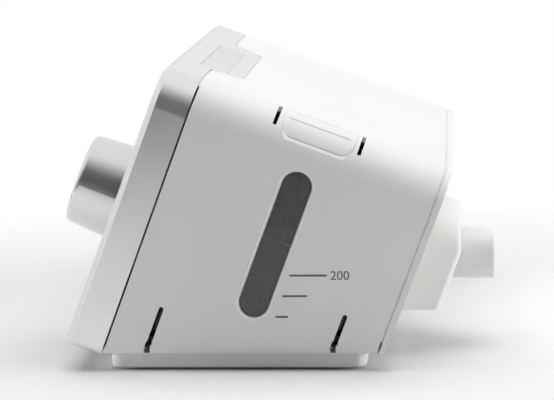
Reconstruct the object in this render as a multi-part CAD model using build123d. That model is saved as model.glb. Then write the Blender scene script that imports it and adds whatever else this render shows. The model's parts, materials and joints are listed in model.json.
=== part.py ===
from build123d import *
import os
from math import asin, cos, degrees, radians, sin, tan

# Bilevel pap machine with a side door, a push dial and a heated water tank.
# X is the width, the front looks to -Y, Z is up, and Z = 0 is the table.
# The front leans back. Leaned pieces are drawn in x, p and q:
# p is the depth behind the front face, and q runs up along that face.

# Outer form
body_width = 246.0
lean = 20.8
front_foot_y = -91.72
top_height = 134.4
top_radius = 16.5
low_radius = 4.0
shell_bottom = 7.0
bezel_depth = 16.2
seam_gap = 0.8
housing_end = 122.1
rear_gap = 0.6
rear_cover_thickness = 2.8
fit_gap = 0.3
slide_gap = 0.15
running_gap = 0.05
smallest_radius = 0.5

# Walls
housing_wall = 2.4
door_wall = 2.0
landing_depth = 2.9
landing_wall = 2.0
tray_flange = 2.5
tub_wall = 2.5
tub_floor = 2.2

# Plinth and feet
plinth_front_step = 2.9
plinth_rear_step = 3.7
plinth_side_step = 5.0
plinth_radius = 5.0
plinth_edge = 1.2
rib_inset = 18.0
foot_height = 2.0
foot_stand = 0.8
foot_radius = 7.0
foot_inset = 16.0

# Front frame
bezel_front = 0.5
bezel_bottom = 13.2
bezel_lip = 3.0
bezel_rim = 6.5
bezel_wall = 2.2
bezel_edge = 2.4
opening_radius = 3.0
tongue_left = -52.0
tongue_right = 73.0
tongue_draw_left = 12.0
tongue_draw_right = 11.0
tongue_end = 30.4
tongue_thickness = 1.4
tongue_radius = 4.0

# Start button and its switch
button_left = -25.0
button_right = 65.0
button_front = 11.3
button_rear = 23.1
button_gap = 0.25
button_flange = 1.0
button_flange_thickness = 1.2
button_travel = 0.8
button_groove_x = -7.5
groove_width = 0.5
groove_depth = 0.25
stem_radius = 2.2
stem_drop = 8.0
stem_spacing = 40.0
switch_drop = 4.5
switch_height = 11.0
switch_depth = 11.0

# Front panel, display and board
panel_set_back = 0.9
panel_thickness = 2.4
panel_flange = 3.0
panel_flange_thickness = 1.6
display_left = -95.0
display_right = 40.0
display_low = 44.0
display_top_step = 22.4
display_radius = 5.0
display_ledge = 2.0
lens_thickness = 1.4
module_border = 6.0
module_thickness = 5.0
board_thickness = 1.6
board_left_step = 19.0
board_right_step = 17.0
board_low = 30.0
board_top_step = 11.4
post_radius = 3.5
post_inset = 4.0

# Knob and encoder
knob_x = 75.0
knob_q = 72.2
knob_base_radius = 20.6
knob_rim_radius = 19.15
knob_reach = 20.4
knob_crown = 0.6
knob_edge = 2.2
knob_wall = 2.2
knob_boss_radius = 5.0
knob_travel = 0.8
dish_gap = 1.1
dish_depth = 1.2
dish_wall = 1.6
shaft_radius = 2.0
shaft_flat = 1.5
rotor_radius = 3.0
bushing_radius = 4.5
bushing_step = 0.2
knob_stand = 0.7
encoder_size = 13.0

# Side door
door_gap = 0.4
door_bottom = 7.9
hinge_inset = 2.0
hinge_height = 9.6
hinge_pin_radius = 0.8
knuckle_radius = 1.7
knuckle_length = 2.0
knuckle_gap = 0.3
door_knuckle_length = 6.0
hinge_sweep = 2.8
cover_relief = 0.4
window_depth = 68.1
window_width = 12.3
window_low = 50.9
window_top_step = 20.5
window_bevel = 1.2
pane_thickness = 1.2
pane_flange = 1.0
slot_front = 50.8
slot_rear = 87.2
slot_width = 1.6
slot_top_step = 6.3
low_slot_front = 33.4
low_slot_front_top = 27.3
low_slot_rear = 104.9
low_slot_rear_top = 23.9
low_slot_width = 2.0
low_slot_bottom = 10.1
slot_foot_width = 2.6
slot_foot_height = 2.6

# Latch in the door
latch_front = 54.0
latch_rear = 84.5
latch_top_step = 8.4
latch_thickness = 1.6
latch_draw = 1.0
latch_bevel = 0.8
latch_corner = 5.0
latch_top_gap = 0.6
barrel_reach = 12.4
barrel_angle = 33.0
barrel_radius = 1.5
latch_pin_radius = 0.75
hook_front = 62.0
hook_rear = 76.0
hook_thickness = 1.0
hook_reach = 2.1
nail_groove_angle = 61.0
nail_groove_depth = 0.5
latch_room_wall = 1.7
latch_room_drop = 10.0
latch_room_gap = 0.8
hook_room_gap = 0.6

# Landing and opening behind the door
step_width = 3.7
opening_front = 25.0
opening_rear_step = 9.1
opening_top_step = 13.9
opening_low = 17.0
opening_corner = 8.0

# Tank bay and water tank
bay_left = 17.0
bay_wall = 1.6
bay_floor = 12.7
tank_left = 22.0
tank_side_step = 7.5
tank_front = 26.0
tank_rear_step = 10.1
tank_bottom = 15.1
tank_top_step = 14.9
tank_split = 83.0
tank_wall = 1.8
tank_radius = 7.0
tank_top_edge = 4.0
tank_low_edge = 1.5
seal_thickness = 1.2
seal_width = 2.4
seal_inset = 0.4
heater_radius = 33.0
heater_flange = 4.0
plate_thickness = 2.0
heater_gap = 0.2
plate_gap = 0.1

# Blower
blower_x = -60.0
blower_step = 10.5
blower_low = 48.0
scroll_radius = 34.0
scroll_step = 1.5
scroll_wall = 2.0
scroll_height = 16.0
duct_width = 18.0
duct_exit = 40.0
inlet_radius = 15.0
lug_offset = 28.0
lug_radius = 6.5
mount_radius = 5.5
mount_height = 8.0
motor_radius = 18.0
motor_length = 22.0
motor_groove_depth = 1.0
motor_groove_step = 4.0
motor_groove_width = 2.0
impeller_radius = 31.0
impeller_plate = 1.5
impeller_height = 10.0
blade_count = 9
blade_thickness = 1.2
blade_bend = 22.0
duct_radius = 10.0
duct_wall = 1.5
duct_adapter = 20.0

# Rear: outlet, port, inlet and filter
port_x = 60.0
port_height = 38.9
port_radius = 11.0
port_wall = 2.0
port_neck_radius = 10.6
port_neck_gap = 0.3
port_length = 14.1
port_flange = 2.5
outlet_left = 28.0
outlet_right = 92.0
outlet_wall = 2.4
outlet_reach = 19.5
outlet_depth = 16.3
outlet_low = 20.0
outlet_crest = 58.2
outlet_slope = 25.8
outlet_round = 16.0
outlet_edge = 2.5
outlet_duct_radius = 10.6
filter_left = -95.0
filter_right = -35.0
filter_low = 78.0
filter_top_step = 16.4
filter_depth = 8.0
filter_frame = 1.6
filter_ledge = 2.5
filter_slots = 7
filter_slot_height = 2.4
filter_pin_radius = 0.9
filter_edge = 6.0
filter_grip_radius = 6.0
inlet_side_step = 23.0
inlet_q = 66.0
inlet_width = 16.0
inlet_height = 12.0
inlet_length = 16.0
inlet_corner = 2.0
socket_radius = 3.3
socket_pin_radius = 1.0
socket_depth = 11.0
screw_radius = 1.5
screw_head_radius = 2.8
screw_head_height = 1.7
screw_length = 13.0
screw_inset = 6.0
screw_low_step = 13.0
screw_high_step = 8.0
screw_side_step = 12.0
screw_cross_length = 3.4
screw_cross_width = 0.8
screw_cross_depth = 0.7
screw_boss_radius = 4.2
screw_boss_length = 17.0

# Main board
board_floor_gap = 3.0
main_board_side_step = 13.0
main_board_right = 6.0
main_board_half = 43.0
main_post_inset = 6.5
can_count = 4
can_radius = 5.0
can_height = 14.0
can_pitch = 13.0
chip_length = 26.0
chip_height = 3.0
plug_height = 9.0

# Places that follow from the sizes above
half_width = body_width / 2
housing_start = bezel_depth + seam_gap
cover_start = housing_end + rear_gap
cover_end = cover_start + rear_cover_thickness
round_x = half_width - top_radius
round_q = top_height - top_radius
hinge_x = half_width - hinge_inset
panel_front = panel_set_back
panel_back = panel_front + panel_thickness
module_back = panel_back + module_thickness
board_back = module_back + board_thickness
dish_floor = panel_front + dish_depth
housing_top_edge = round_x - fit_gap
door_top_edge = housing_top_edge + door_gap
blower_floor = blower_low + scroll_wall
scroll_top = scroll_radius + 3 * scroll_step
duct_z = blower_floor + scroll_height / 2
display_high = top_height - display_top_step
board_left = board_left_step - half_width
board_right = half_width - board_right_step
board_high = top_height - board_top_step
window_high = top_height - window_top_step
slot_low = top_height - slot_top_step
latch_low = top_height - latch_top_step
opening_rear = housing_end - opening_rear_step
opening_top = top_height - opening_top_step
tank_right = half_width - tank_side_step
tank_rear = housing_end - tank_rear_step
tank_top = top_height - tank_top_step
filter_high = top_height - filter_top_step
inlet_x = inlet_side_step - half_width
main_board_left = main_board_side_step - half_width
outlet_lean_depth = cover_end + outlet_depth

frame = Pos(0, front_foot_y, 0) * Rot(-lean, 0, 0)


def leaned(shape):
    """Move a piece drawn in x, p and q to its place on the table."""
    return frame * shape


def lean_y(depth, height):
    """The y of a point given by its depth p and its height z."""
    return front_foot_y + height * sin(radians(lean)) / cos(radians(lean)) + depth / cos(radians(lean))


def lean_q(depth, height):
    """The q of a point given by its depth p and its height z."""
    return (height + depth * sin(radians(lean))) / cos(radians(lean))


def lean_height(y, depth):
    """The z at which a plane of constant depth p has a given y."""
    return (y - front_foot_y - depth / cos(radians(lean))) * cos(radians(lean)) / sin(radians(lean))


plinth_front = lean_y(housing_start, shell_bottom) + plinth_front_step
plinth_rear = lean_y(housing_end, shell_bottom) - plinth_rear_step
plinth_mid = (plinth_front + plinth_rear) / 2
blower_y = plinth_mid + blower_step
duct_y = blower_y + scroll_top - duct_width / 2
port_face_y = lean_y(cover_end, port_height) + outlet_reach
port_end_y = port_face_y + port_length


def area(left, right, low, high):
    """A rectangle between four edges."""
    return Pos((left + right) / 2, (low + high) / 2) * Rectangle(right - left, high - low)


def soft_area(left, right, low, high, radius):
    """A rectangle with rounded corners."""
    return Pos((left + right) / 2, (low + high) / 2) * RectangleRounded(right - left, high - low, radius)


def block(left, right, front, rear, low, high):
    """A box between six faces."""
    return extrude(Plane.XY.offset(low) * area(left, right, front, rear), amount=high - low)


def slab(outline, start, end):
    """Prism of an outline seen from the front, between two depths."""
    return extrude(Plane.XZ.offset(-end) * outline, amount=end - start)


def side_slab(outline, left, right):
    """Prism of an outline seen from the side, between two widths."""
    return extrude(Plane.YZ.offset(left) * outline, amount=right - left)


def level_slab(outline, low, high):
    """Prism of an outline seen from above, between two heights."""
    return extrude(Plane.XY.offset(low) * outline, amount=high - low)


def ring(outer, inner):
    """A flat ring."""
    return Circle(outer) - Circle(inner)


def rounded_top(inset, low):
    """The body's outline seen square to the front, moved in by a wall."""
    outline = area(inset - half_width, half_width - inset, low, top_height - inset)
    corners = outline.vertices().group_by(Axis.Y)[-1]
    return fillet(corners, top_radius - inset)


def shell_form(inset, start, end):
    """The body's form between two depths, moved in by a wall."""
    upper = leaned(slab(rounded_top(inset, -top_height), start, end))
    outline = area(inset - half_width, half_width - inset, shell_bottom + inset, 2 * top_height)
    corners = outline.vertices().group_by(Axis.Y)[0]
    lower = slab(fillet(corners, max(low_radius - inset, smallest_radius)), -body_width, body_width)
    return upper & lower


def bezel_outline(inset):
    """The front frame's outline, moved in."""
    outline = area(inset - half_width, half_width - inset, bezel_bottom + inset, top_height - inset)
    outline = fillet(outline.vertices().group_by(Axis.Y)[-1], top_radius - inset)
    return fillet(outline.vertices().group_by(Axis.Y)[0], max(low_radius - inset, opening_radius - inset / 4))


def tongue_outline(margin):
    """The tongue on the flat top, with a margin round it."""
    points = [
        (tongue_left - margin, bezel_depth - bezel_lip),
        (tongue_right + margin, bezel_depth - bezel_lip),
        (tongue_right - tongue_draw_right + margin, tongue_end + margin),
        (tongue_left + tongue_draw_left - margin, tongue_end + margin),
    ]
    outline = make_face(Polyline(*points, close=True))
    return fillet(outline.vertices().group_by(Axis.Y)[-1], tongue_radius)


def button_area(margin):
    """The start button seen from above, with a margin round it."""
    return area(button_left - margin, button_right + margin, button_front - margin, button_rear + margin)


def corner_point(radius, angle):
    """A point on the rounding between side and top, seen from the front."""
    return (round_x + radius * cos(radians(angle)), round_q + radius * sin(radians(angle)))


def corner_sector(inner, outer, low_angle, high_angle):
    """A piece of the rounding's section between two radii and two angles."""
    points = [corner_point(inner, low_angle), corner_point(outer, low_angle)]
    points += [corner_point(outer, high_angle), corner_point(inner, high_angle)]
    return make_face(Polyline(*points, close=True))


def save(name, shape):
    """Write one piece."""
    export_step(shape, "parts/" + name + ".step")


os.makedirs("parts", exist_ok=True)

# Plinth: a flat tub with a flange that closes the body's underside
plinth_half = half_width - plinth_side_step
plinth_area = Pos(0, plinth_mid) * RectangleRounded(2 * plinth_half, plinth_rear - plinth_front, plinth_radius)
tub_width = 2 * plinth_half - 4 * tub_wall
tub_length = plinth_rear - plinth_front - 2 * tub_wall
tub_area = Pos(-tub_wall, plinth_mid) * RectangleRounded(tub_width, tub_length, plinth_radius - tub_wall)
flange_left = -half_width + low_radius + fit_gap
flange_right = hinge_x - hinge_sweep
flange_top = shell_bottom + tray_flange
tub_bottom = foot_stand + tub_floor
flange_area = area(flange_left, flange_right, -body_width, body_width)
flange = level_slab(flange_area, shell_bottom, flange_top)
flange = flange & leaned(block(flange_left, flange_right, housing_start, housing_end, 0, top_height))
plinth = level_slab(plinth_area, foot_stand, shell_bottom)
base_tray = fillet(plinth.edges().group_by(Axis.Z)[0], plinth_edge) + flange
base_tray -= level_slab(tub_area, tub_bottom, flange_top)
mount_places = [
    (blower_x - lug_offset, blower_y - lug_offset),
    (blower_x - lug_offset, blower_y + lug_offset),
    (blower_x + lug_offset, blower_y - lug_offset),
    (blower_x + lug_offset, blower_y + lug_offset),
]
mount_low = blower_low - mount_height
board_low_face = tub_bottom + board_floor_gap
for x, y in mount_places:
    post = Pos(x, y) * Circle(mount_radius - fit_gap)
    base_tray += level_slab(post, tub_bottom, mount_low)
post_x = (main_board_left + main_post_inset, main_board_right - main_post_inset)
post_y = (plinth_mid - main_board_half + main_post_inset, plinth_mid + main_board_half - main_post_inset)
board_posts = [(x, y) for x in post_x for y in post_y]
for x, y in board_posts:
    base_tray += level_slab(Pos(x, y) * Circle(post_radius), tub_bottom, board_low_face)
rib_front = plinth_front + rib_inset
rib_rear = plinth_rear - rib_inset
for x in (tank_left + 2 * tub_wall, tank_right - 4 * tub_wall):
    base_tray += block(x, x + tub_wall, rib_front, rib_rear, tub_bottom, bay_floor)
foot_x = plinth_half - foot_inset
foot_places = [(x, y) for x in (-foot_x, foot_x) for y in (plinth_front + foot_inset, plinth_rear - foot_inset)]
rubber_feet = []
for x, y in foot_places:
    base_tray -= level_slab(Pos(x, y) * Circle(foot_radius + slide_gap), 0, foot_height)
    foot = level_slab(Pos(x, y) * Circle(foot_radius), 0, foot_height)
    rubber_feet.append(chamfer(foot.edges().group_by(Axis.Z)[0], 0.4))
save("base_tray", base_tray)
save("rubber_feet", Compound(rubber_feet))

# Top housing: white top and far side, with a step and a rim behind the side door
tube = shell_form(0, housing_start, housing_end) - shell_form(housing_wall, 0, 2 * housing_end)
keep_top = block(-half_width, housing_top_edge, -body_width, body_width, shell_bottom + 30, 2 * top_height)
keep_side = block(-half_width, low_radius - half_width, -body_width, body_width, 0, 2 * top_height)
top_housing = tube & (keep_top + keep_side)
rim_depth = landing_depth + landing_wall
step_left = housing_top_edge - step_width
step_form = shell_form(0, housing_start, housing_end) - shell_form(rim_depth, 0, 2 * housing_end)
step = block(step_left, housing_top_edge, -body_width, body_width, shell_bottom + 30, 2 * top_height)
top_housing += step_form & step
rim = shell_form(landing_depth, housing_start, housing_end) - shell_form(rim_depth, 0, 2 * housing_end)
rim = rim & block(step_left, half_width, -body_width, body_width, opening_low, 2 * top_height)
side_opening = soft_area(opening_front, opening_rear, -top_height, opening_top, opening_corner)
rim -= leaned(side_slab(side_opening, bay_left, half_width))
room_left = step_left + latch_room_wall
room_low = round_q + barrel_reach - latch_room_drop
latch_room = area(room_left, half_width, room_low, top_height - landing_depth)
rim -= leaned(slab(latch_room, slot_front - latch_room_gap, slot_rear + latch_room_gap))
top_housing += rim
hook_low = top_height - housing_wall - fit_gap - hook_thickness
hook_room = area(room_left, half_width, hook_low - 2 * hook_thickness, top_height - housing_wall)
top_housing -= leaned(slab(hook_room, hook_front - hook_room_gap, hook_rear + hook_room_gap))
tongue_floor = top_height - tongue_thickness
top_housing -= leaned(level_slab(tongue_outline(fit_gap), tongue_floor, 2 * top_height))
button_room = button_area(fit_gap)
top_housing -= leaned(level_slab(button_room, top_height - 10, 2 * top_height))
side_screw_x = -half_width + screw_inset
top_screw_q = top_height - screw_inset
screw_places = [
    (side_screw_x, filter_low - screw_low_step),
    (side_screw_x, filter_high - screw_high_step),
    ((filter_left + filter_right) / 2, top_screw_q),
    (step_left - screw_side_step, top_screw_q),
]
boss_start = housing_end - screw_boss_length
for x, q in screw_places:
    boss = slab(Pos(x, q) * Circle(screw_boss_radius), boss_start, housing_end)
    boss -= slab(Pos(x, q) * Circle(screw_radius + slide_gap), boss_start - 1, housing_end)
    top_housing += leaned(boss) & shell_form(housing_wall - 0.2, housing_start, housing_end)
save("top_housing", top_housing)

# Front frame: silver ring with a lip, and a tongue that reaches over the top
bezel = slab(bezel_outline(0), bezel_front, bezel_depth)
bezel = chamfer(bezel.edges().group_by(Axis.Y)[0], bezel_edge)
bezel -= slab(bezel_outline(bezel_wall), bezel_lip, 2 * bezel_depth)
bezel -= slab(bezel_outline(bezel_rim), -1, 2 * bezel_lip)
bezel += level_slab(tongue_outline(0), tongue_floor, top_height)
bezel -= level_slab(button_area(button_gap), top_height - 10, top_height + 1)
front_bezel = leaned(bezel)
save("front_bezel", front_bezel)

# Start button with its flange and two stems, and the switch block below
cap_low = top_height - housing_wall - fit_gap
cap = level_slab(button_area(0), cap_low, top_height)
cap = fillet(cap.edges().group_by(Axis.Z)[-1], 0.4)
groove = area(button_groove_x, button_groove_x + groove_width, button_front, button_rear)
cap -= level_slab(groove, top_height - groove_depth, top_height + 1)
flange_low = cap_low - button_flange_thickness
cap += level_slab(button_area(button_flange), flange_low, cap_low)
button_mid_x = (button_left + button_right) / 2
button_mid_p = (button_front + button_rear) / 2
stem_places = [button_mid_x - stem_spacing / 2, button_mid_x + stem_spacing / 2]
switch_top = flange_low - switch_drop
switch_half = stem_spacing / 2 + 3 * stem_radius
switch_area = area(-switch_half, switch_half, board_back, board_back + switch_depth)
switch = level_slab(Pos(button_mid_x, 0) * switch_area, switch_top - switch_height, switch_top)
for x in stem_places:
    cap += level_slab(Pos(x, button_mid_p) * Circle(stem_radius), flange_low - stem_drop, flange_low)
    bore = Circle(stem_radius + slide_gap)
    bore_low = flange_low - stem_drop - button_travel - fit_gap
    switch -= level_slab(Pos(x, button_mid_p) * bore, bore_low, switch_top)
save("start_button", leaned(cap))
save("start_switch", leaned(switch))

# Black front panel with the display's ledge and the knob's dish
panel = slab(bezel_outline(bezel_rim + slide_gap), panel_front, panel_back)
back_ring = bezel_outline(bezel_rim - panel_flange) - bezel_outline(bezel_rim + panel_flange)
panel += slab(back_ring, bezel_lip, bezel_lip + panel_flange_thickness)
window_area = soft_area(display_left, display_right, display_low, display_high, display_radius)
ledge_area = soft_area(
    display_left + display_ledge,
    display_right - display_ledge,
    display_low + display_ledge,
    display_high - display_ledge,
    display_radius - display_ledge,
)
panel -= slab(window_area, 0, panel_front + lens_thickness)
panel -= slab(ledge_area, 0, 2 * panel_back)
knob_centre = Pos(knob_x, knob_q)
dish_radius = knob_base_radius + dish_gap
dish_back = panel_back + dish_depth
panel += slab(knob_centre * Circle(dish_radius + dish_wall), panel_back, dish_back)
panel -= slab(knob_centre * Circle(dish_radius), 0, dish_floor)
panel -= slab(knob_centre * Circle(bushing_radius + fit_gap), 0, 2 * panel_back)
post_places = [
    (x, q)
    for x in (board_left + post_inset, board_right - post_inset)
    for q in (board_low + post_inset, board_high - post_inset)
]
for x, q in post_places:
    panel += slab(Pos(x, q) * Circle(post_radius), panel_back, module_back)
save("front_panel", leaned(panel))

lens_area = soft_area(
    display_left + slide_gap,
    display_right - slide_gap,
    display_low + slide_gap,
    display_high - slide_gap,
    display_radius,
)
save("display_lens", leaned(slab(lens_area, panel_front, panel_front + lens_thickness)))
module_area = area(
    display_left + display_ledge - module_border,
    display_right - display_ledge + module_border,
    display_low + display_ledge - module_border,
    display_high - display_ledge + module_border,
)
for x, q in post_places:
    module_area -= Pos(x, q) * Circle(post_radius + fit_gap)
save("display_module", leaned(slab(module_area, panel_back, module_back)))
board_area = area(board_left, board_right, board_low, board_high)
board_area -= knob_centre * Circle(bushing_radius - 1)
save("control_board", leaned(slab(board_area, module_back, board_back)))

# Encoder, its rotor, the knob's shaft and the knob
bushing_front = dish_floor + bushing_step
case = slab(knob_centre * Rectangle(encoder_size, encoder_size), dish_back, module_back)
case += slab(knob_centre * Circle(bushing_radius), bushing_front, dish_back)
case -= slab(knob_centre * Circle(rotor_radius + running_gap), 0, board_back)
save("encoder_base", leaned(case))
rotor_front = bushing_front - bushing_step
rotor_back = module_back - fit_gap
flat_left = Pos(0, shaft_radius + shaft_flat) * Rectangle(4 * shaft_radius, 2 * shaft_radius)
rotor_bore = Circle(shaft_radius + running_gap) - Pos(0, running_gap) * flat_left
rotor = slab(knob_centre * (Circle(rotor_radius) - rotor_bore), rotor_front, rotor_back)
save("encoder_rotor", leaned(rotor))
shaft_area = Circle(shaft_radius) - flat_left
knob_base = rotor_front - knob_travel - knob_stand
shaft_tip = -knob_reach + 2 * knob_wall
shaft_back = rotor_back - knob_travel
knob_shaft = slab(knob_centre * shaft_area, shaft_tip, shaft_back)
save("knob_shaft", leaned(knob_shaft))
rim_front = knob_crown - knob_reach
outer_line = Line((knob_base_radius, knob_base), (knob_rim_radius, rim_front))
crown_line = TangentArc((0, -knob_reach), (knob_rim_radius, rim_front), tangent=(1, 0))
close_lines = Polyline((0, -knob_reach), (0, knob_base), (knob_base_radius, knob_base))
knob_profile = make_face(outer_line + crown_line + close_lines)
rim_corner = knob_profile.vertices().sort_by_distance((knob_rim_radius, rim_front, 0))[0]
knob = revolve(fillet(rim_corner, knob_edge), Axis.Y)
hollow_points = [
    (knob_boss_radius, knob_base + 1),
    (knob_base_radius - knob_wall, knob_base + 1),
    (knob_rim_radius - knob_wall, knob_wall - knob_reach + knob_crown),
    (knob_boss_radius, knob_wall - knob_reach + knob_crown),
]
knob -= revolve(make_face(Polyline(*hollow_points, close=True)), Axis.Y)
knob -= slab(shaft_area, shaft_tip, knob_base + 1)
save("knob", leaned(Pos(knob_x, 0, knob_q) * knob))

# Side door: the side's skin and the rounding over it, hung at its lower edge
skin = shell_form(0, housing_start, housing_end) - shell_form(door_wall, 0, 2 * housing_end)
door_split = shell_bottom + top_height / 3
door_high = block(door_top_edge, half_width, -body_width, body_width, door_split, 2 * top_height)
door_low_left = half_width - low_radius
door_low = block(door_low_left, half_width, -body_width, body_width, door_bottom, door_split + door_wall)
side_door = skin & (door_high + door_low)
window_mid = (window_low + window_high) / 2
window_length = window_high - window_low


def window_outline(margin):
    """The window's long opening seen from the side, with a margin."""
    upright = Rot(0, 0, 90) * SlotOverall(window_length + 2 * margin, window_width + 2 * margin)
    return Pos(window_depth, window_mid) * upright


side_door -= leaned(side_slab(window_outline(0), bay_left, body_width))
bevel = Plane.YZ.offset(half_width - window_bevel) * window_outline(0)
bevel_wide = Plane.YZ.offset(half_width) * window_outline(window_bevel)
side_door -= leaned(loft([bevel, bevel_wide]))
for p in (slot_front, slot_rear):
    slot = area(door_top_edge - 1, half_width + 1, slot_low, top_height + 1)
    side_door -= leaned(slab(slot, p - slot_width / 2, p + slot_width / 2))
low_slots = [(low_slot_front, low_slot_front_top), (low_slot_rear, low_slot_rear_top)]
for p, top in low_slots:
    slot_high = lean_q(p, top)
    slot_base = lean_q(p, low_slot_bottom)
    half_slot = low_slot_width / 2
    slot = area(p - half_slot, p + half_slot, slot_base, slot_high - half_slot)
    slot += Pos(p, slot_high - half_slot) * Circle(half_slot)
    slot += area(p - slot_foot_width / 2, p + slot_foot_width / 2, slot_base, slot_base + slot_foot_height)
    side_door -= leaned(side_slab(slot, half_width - low_radius, half_width + 1))
hinge_places = [lean_y(low_slot_front, hinge_height), lean_y(low_slot_rear, hinge_height)]


def at_hinge(outline, middle, length):
    """A piece round the side door's hinge axis."""
    return Pos(hinge_x, 0, hinge_height) * slab(outline, middle - length / 2, middle + length / 2)


knuckle_step = (knuckle_length + door_knuckle_length) / 2 + knuckle_gap
pin_length = knuckle_length + 2 * door_knuckle_length + 2 * knuckle_gap
body_form = shell_form(0, housing_start, housing_end)
for y in hinge_places:
    side_door -= at_hinge(Circle(knuckle_radius + fit_gap), y, knuckle_length + 2 * knuckle_gap)
    side_door -= at_hinge(area(-hinge_inset, hinge_inset, -hinge_height, 0), y, knuckle_length + 2 * knuckle_gap)
    for side in (-1, 1):
        knuckle = at_hinge(Circle(knuckle_radius), y + side * knuckle_step, door_knuckle_length)
        side_door += knuckle & body_form
    side_door -= at_hinge(Circle(hinge_pin_radius + running_gap), y, pin_length)
latch_cut = soft_area(
    latch_front - fit_gap,
    latch_rear + fit_gap,
    latch_low - fit_gap,
    2 * top_height,
    latch_corner + fit_gap,
)
side_door -= leaned(side_slab(latch_cut, round_x - 1, half_width + 1))
latch_edge = corner_point(top_radius, degrees(asin((latch_low - round_q) / top_radius)))
latch_cut_wide = soft_area(
    latch_front - fit_gap - 2 * latch_bevel,
    latch_rear + fit_gap + 2 * latch_bevel,
    latch_low - fit_gap - 2 * latch_bevel,
    2 * top_height,
    latch_corner + fit_gap + 2 * latch_bevel,
)
bevel_faces = [Plane.YZ.offset(latch_edge[0] - latch_bevel) * latch_cut]
bevel_faces.append(Plane.YZ.offset(latch_edge[0] + latch_bevel) * latch_cut_wide)
latch_bevel_form = loft(bevel_faces) & block(round_x, half_width, 0, housing_end, 0, top_height - latch_corner)
side_door -= leaned(latch_bevel_form)
barrel = corner_point(barrel_reach, barrel_angle)
ear = corner_sector(barrel_reach - 1.5, top_radius - door_wall + 0.4, barrel_angle - 8, barrel_angle + 8)
ear_front = (slot_front + slot_width / 2, latch_front - fit_gap)
ear_rear = (latch_rear + fit_gap, slot_rear - slot_width / 2)
for start, end in (ear_front, ear_rear):
    side_door += leaned(slab(ear, start + 0.1, end - 0.1))
    side_door -= leaned(slab(Pos(*barrel) * Circle(latch_pin_radius), start, end))
save("side_door", side_door)

pane = side_slab(window_outline(-slide_gap), half_width - door_wall, half_width - door_wall + pane_thickness)
pane += side_slab(window_outline(pane_flange), half_width - door_wall - 0.8, half_width - door_wall)
save("window_pane", leaned(pane))
save("latch_pin", leaned(slab(Pos(*barrel) * Circle(latch_pin_radius), ear_front[0] + 0.1, ear_rear[1] - 0.1)))

# Latch: a pad in the rounding that tilts on a pin and frees its hook
pad_outline = area(0, half_width - latch_draw, 0, top_height)
pad_corner = pad_outline.vertices().sort_by_distance((half_width, top_height, 0))[0]
pad_area = fillet(pad_corner, top_radius - latch_draw) - rounded_top(latch_thickness, 0)
pad_area = pad_area & area(housing_top_edge + latch_top_gap, half_width, latch_low, top_height)
pad_side = soft_area(latch_front, latch_rear, latch_low, 2 * top_height, latch_corner)
latch = slab(pad_area, latch_front, latch_rear) & side_slab(pad_side, 0, half_width)
pad_radius = top_radius - latch_thickness
web = corner_sector(barrel_reach, pad_radius + 0.4, barrel_angle + 3, barrel_angle + 13)
latch_inner = (latch_front + 1.5, latch_rear - 1.5)
latch += slab(web, latch_front + latch_corner, latch_rear - latch_corner)
latch += slab(Pos(*barrel) * Circle(barrel_radius), *latch_inner)
latch -= slab(Pos(*barrel) * Circle(latch_pin_radius + running_gap), latch_front, latch_rear)
hook_left = housing_top_edge - hook_reach + 0.8
hook_neck = housing_top_edge + latch_top_gap + 0.2
latch += slab(area(hook_left, hook_neck + 2, hook_low, hook_low + hook_thickness), hook_front, hook_rear)
hook_top = top_height - latch_thickness + 0.4
latch += slab(area(hook_neck, hook_neck + 2, hook_low, hook_top), hook_front, hook_rear)
groove_at = corner_point(top_radius + 0.3, nail_groove_angle)
latch -= slab(Pos(*groove_at) * Circle(nail_groove_depth + 0.3), latch_front + 2, latch_rear - 2.5)
save("door_latch", leaned(latch))

# Bay for the tank, with the hinge arms of the side door
bay_front = opening_front - bay_wall - 0.6
bay_rear = opening_rear + bay_wall + 0.6
bay_top = opening_top + bay_wall
bay_right = half_width - rim_depth - fit_gap
bay_outer = leaned(block(bay_left, bay_right, bay_front, bay_rear, -top_height, bay_top))
bay_outer = bay_outer & leaned(slab(rounded_top(rim_depth + fit_gap, -top_height), 0, cover_end))
bay_outer = bay_outer & block(0, half_width, -body_width, body_width, flange_top, 2 * top_height)
bay_inner = leaned(
    block(
        bay_left + bay_wall,
        half_width,
        bay_front + bay_wall,
        bay_rear - bay_wall,
        -top_height,
        bay_top - bay_wall,
    )
)
floor_top = bay_floor + bay_wall
bay_inner = bay_inner & block(0, half_width, -body_width, body_width, floor_top, 2 * top_height)
humidifier_bay = bay_outer - bay_inner
humidifier_bay -= block(bay_left + bay_wall, half_width, -body_width, body_width, 0, bay_floor)
humidifier_bay -= block(bay_left - 1, bay_left + 2 * bay_wall, plinth_front + 9, plinth_rear - 9, 0, bay_floor)
tank_mid_x = (tank_left + tank_right) / 2
tank_mid_p = (tank_front + tank_rear) / 2
tank_mid_y = lean_y(tank_mid_p, tank_bottom)
heater_centre = Pos(tank_mid_x, tank_mid_y)
humidifier_bay -= level_slab(heater_centre * Circle(heater_radius + fit_gap), 0, tank_bottom)
arm_left = bay_right - hinge_x - 2 * bay_wall
for y in hinge_places:
    arm = Circle(knuckle_radius) + area(arm_left, 0, 0.1, knuckle_radius)
    arm += area(arm_left, arm_left + 2 * bay_wall, 0.1, floor_top - hinge_height)
    humidifier_bay += at_hinge(arm, y, knuckle_length) & body_form
    humidifier_bay -= at_hinge(Circle(hinge_pin_radius), y, knuckle_length)
duct_hole = Pos(0, duct_y, duct_z) * side_slab(Circle(duct_radius + fit_gap), 0, tank_left)
humidifier_bay -= duct_hole
port_mid_p = (port_face_y - front_foot_y) * cos(radians(lean)) - port_height * sin(radians(lean))
port_q = (port_face_y - front_foot_y) * sin(radians(lean)) + port_height * cos(radians(lean))
outlet_centre = Pos(port_x, port_q)
humidifier_bay -= leaned(slab(outlet_centre * Circle(outlet_duct_radius + fit_gap), tank_rear, cover_end))
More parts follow.
